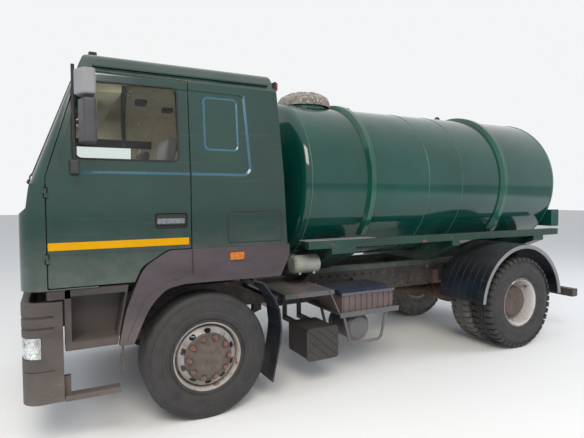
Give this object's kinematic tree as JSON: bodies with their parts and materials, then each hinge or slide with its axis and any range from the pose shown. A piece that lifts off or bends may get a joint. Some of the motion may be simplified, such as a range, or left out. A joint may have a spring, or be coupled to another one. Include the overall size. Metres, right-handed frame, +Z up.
{
  "type": "tanker truck",
  "caption": "Two-axle cab-over tanker truck with a sleeper cab that tips, doors, a hinged front panel, steered wheels and a round tank with a filling hatch.",
  "frame": {"origin": "on the ground, in the middle of the overall length and width", "axes": "+X forward along the truck, +Y to the driver's left, +Z up"},
  "size_m": [6.704, 3.06, 3.11],
  "materials": {
    "cab_paint": "dark green gloss paint, weathered",
    "tank_paint": "dark green gloss paint, weathered",
    "chassis_paint": "satin black paint, dusty",
    "trim_plastic": "faded grey plastic",
    "bumper_paint": "faded grey-brown bumper",
    "cast_iron": "rusty casting",
    "wheel_paint": "grey wheel paint with rust",
    "tyre": "worn tyre",
    "glass": "clear glass",
    "lens": "lamp lenses",
    "seat_fabric": "dark seat cloth",
    "interior": "dark interior plastic",
    "cover_film": "crumpled grey cover",
    "fuel_tank": "dull aluminium"
  },
  "bodies": {
    "chassis": {"frame_rails": "chassis_paint", "cross_members": "chassis_paint", "drive_train": "cast_iron", "front_axle": "cast_iron", "rear_axle": "cast_iron", "leaf_springs": "cast_iron", "side_boxes": "trim_plastic", "fuel_tank": "fuel_tank", "mudguards": "trim_plastic", "bumper": "bumper_paint", "subframe": "tank_paint", "tank": "tank_paint", "tank_fittings": "tank_paint", "rear_bar": "chassis_paint", "lamps": "lens"},
    "cab": {"cab_roof": "cab_paint", "cab_back": "cab_paint", "cab_sides": "cab_paint", "cab_front": "cab_paint", "windscreen": "glass", "cab_floor": "chassis_paint", "cab_trims": "trim_plastic", "dashboard": "interior", "seat_bases": "interior", "seat_cushions": "seat_fabric", "steering_wheel": "interior"},
    "door_left": {"door_left": "cab_paint", "door_glass_left": "glass", "door_fittings_left": "trim_plastic"},
    "door_right": {"door_right": "cab_paint", "door_glass_right": "glass", "door_fittings_right": "trim_plastic"},
    "front_panel": {"front_panel": "trim_plastic"},
    "hatch_lid": {"hatch_lid": "tank_paint", "hatch_cover": "cover_film"},
    "knuckle_left": {"knuckle_left": "cast_iron"},
    "knuckle_right": {"knuckle_right": "cast_iron"},
    "tie_rod": {"tie_rod": "cast_iron"},
    "front_wheel_left": {"front_wheel_left": "wheel_paint", "front_tyre_left": "tyre"},
    "front_wheel_right": {"front_wheel_right": "wheel_paint", "front_tyre_right": "tyre"},
    "rear_wheels_left": {"rear_wheels_left": "wheel_paint", "rear_tyres_left": "tyre"},
    "rear_wheels_right": {"rear_wheels_right": "wheel_paint", "rear_tyres_right": "tyre"}
  },
  "joints": [
    {"name": "steer_left", "type": "hinge", "parent": "chassis", "child": "knuckle_left", "pos_m": [2, 0.94, 0.53], "axis": [0, 0, 1], "range_deg": [-38, 38]},
    {"name": "steer_right", "type": "hinge", "parent": "chassis", "child": "knuckle_right", "pos_m": [2, -0.94, 0.53], "axis": [0, 0, 1], "range_deg": [-38, 38]},
    {"name": "tie_rod_swing", "type": "hinge", "parent": "knuckle_left", "child": "tie_rod", "pos_m": [1.8, 0.94, 0.43], "axis": [0, 0, 1], "range_deg": [-38, 38]},
    {"name": "front_wheel_left_spin", "type": "hinge", "parent": "knuckle_left", "child": "front_wheel_left", "pos_m": [2, 1.065, 0.53], "axis": [0, 1, 0], "continuous": true},
    {"name": "front_wheel_right_spin", "type": "hinge", "parent": "knuckle_right", "child": "front_wheel_right", "pos_m": [2, -1.065, 0.53], "axis": [0, 1, 0], "continuous": true},
    {"name": "rear_wheels_left_spin", "type": "hinge", "parent": "chassis", "child": "rear_wheels_left", "pos_m": [-1.95, 0.8975, 0.56], "axis": [0, 1, 0], "continuous": true},
    {"name": "rear_wheels_right_spin", "type": "hinge", "parent": "chassis", "child": "rear_wheels_right", "pos_m": [-1.95, -0.8975, 0.56], "axis": [0, 1, 0], "continuous": true},
    {"name": "cab_tilt", "type": "hinge", "parent": "chassis", "child": "cab", "pos_m": [3.25, 0, 1.08], "axis": [0, 1, 0], "range_deg": [0, 50]},
    {"name": "door_left_swing", "type": "hinge", "parent": "cab", "child": "door_left", "pos_m": [3.174, 1.25, 1.9], "axis": [0, 0, -1], "range_deg": [0, 75]},
    {"name": "door_right_swing", "type": "hinge", "parent": "cab", "child": "door_right", "pos_m": [3.174, -1.25, 1.9], "axis": [0, 0, 1], "range_deg": [0, 75]},
    {"name": "front_panel_lift", "type": "hinge", "parent": "cab", "child": "front_panel", "pos_m": [3.322, 0, 1.756], "axis": [0, -1, 0], "range_deg": [0, 85]},
    {"name": "hatch_lid_lift", "type": "hinge", "parent": "chassis", "child": "hatch_lid", "pos_m": [0.43, -0.312, 2.979], "axis": [1, 0, 0], "range_deg": [0, 100]}
  ],
  "couplings": [
    {"joint": "steer_right", "follows": "steer_left", "ratio": 1},
    {"joint": "tie_rod_swing", "follows": "steer_left", "ratio": -1}
  ]
}
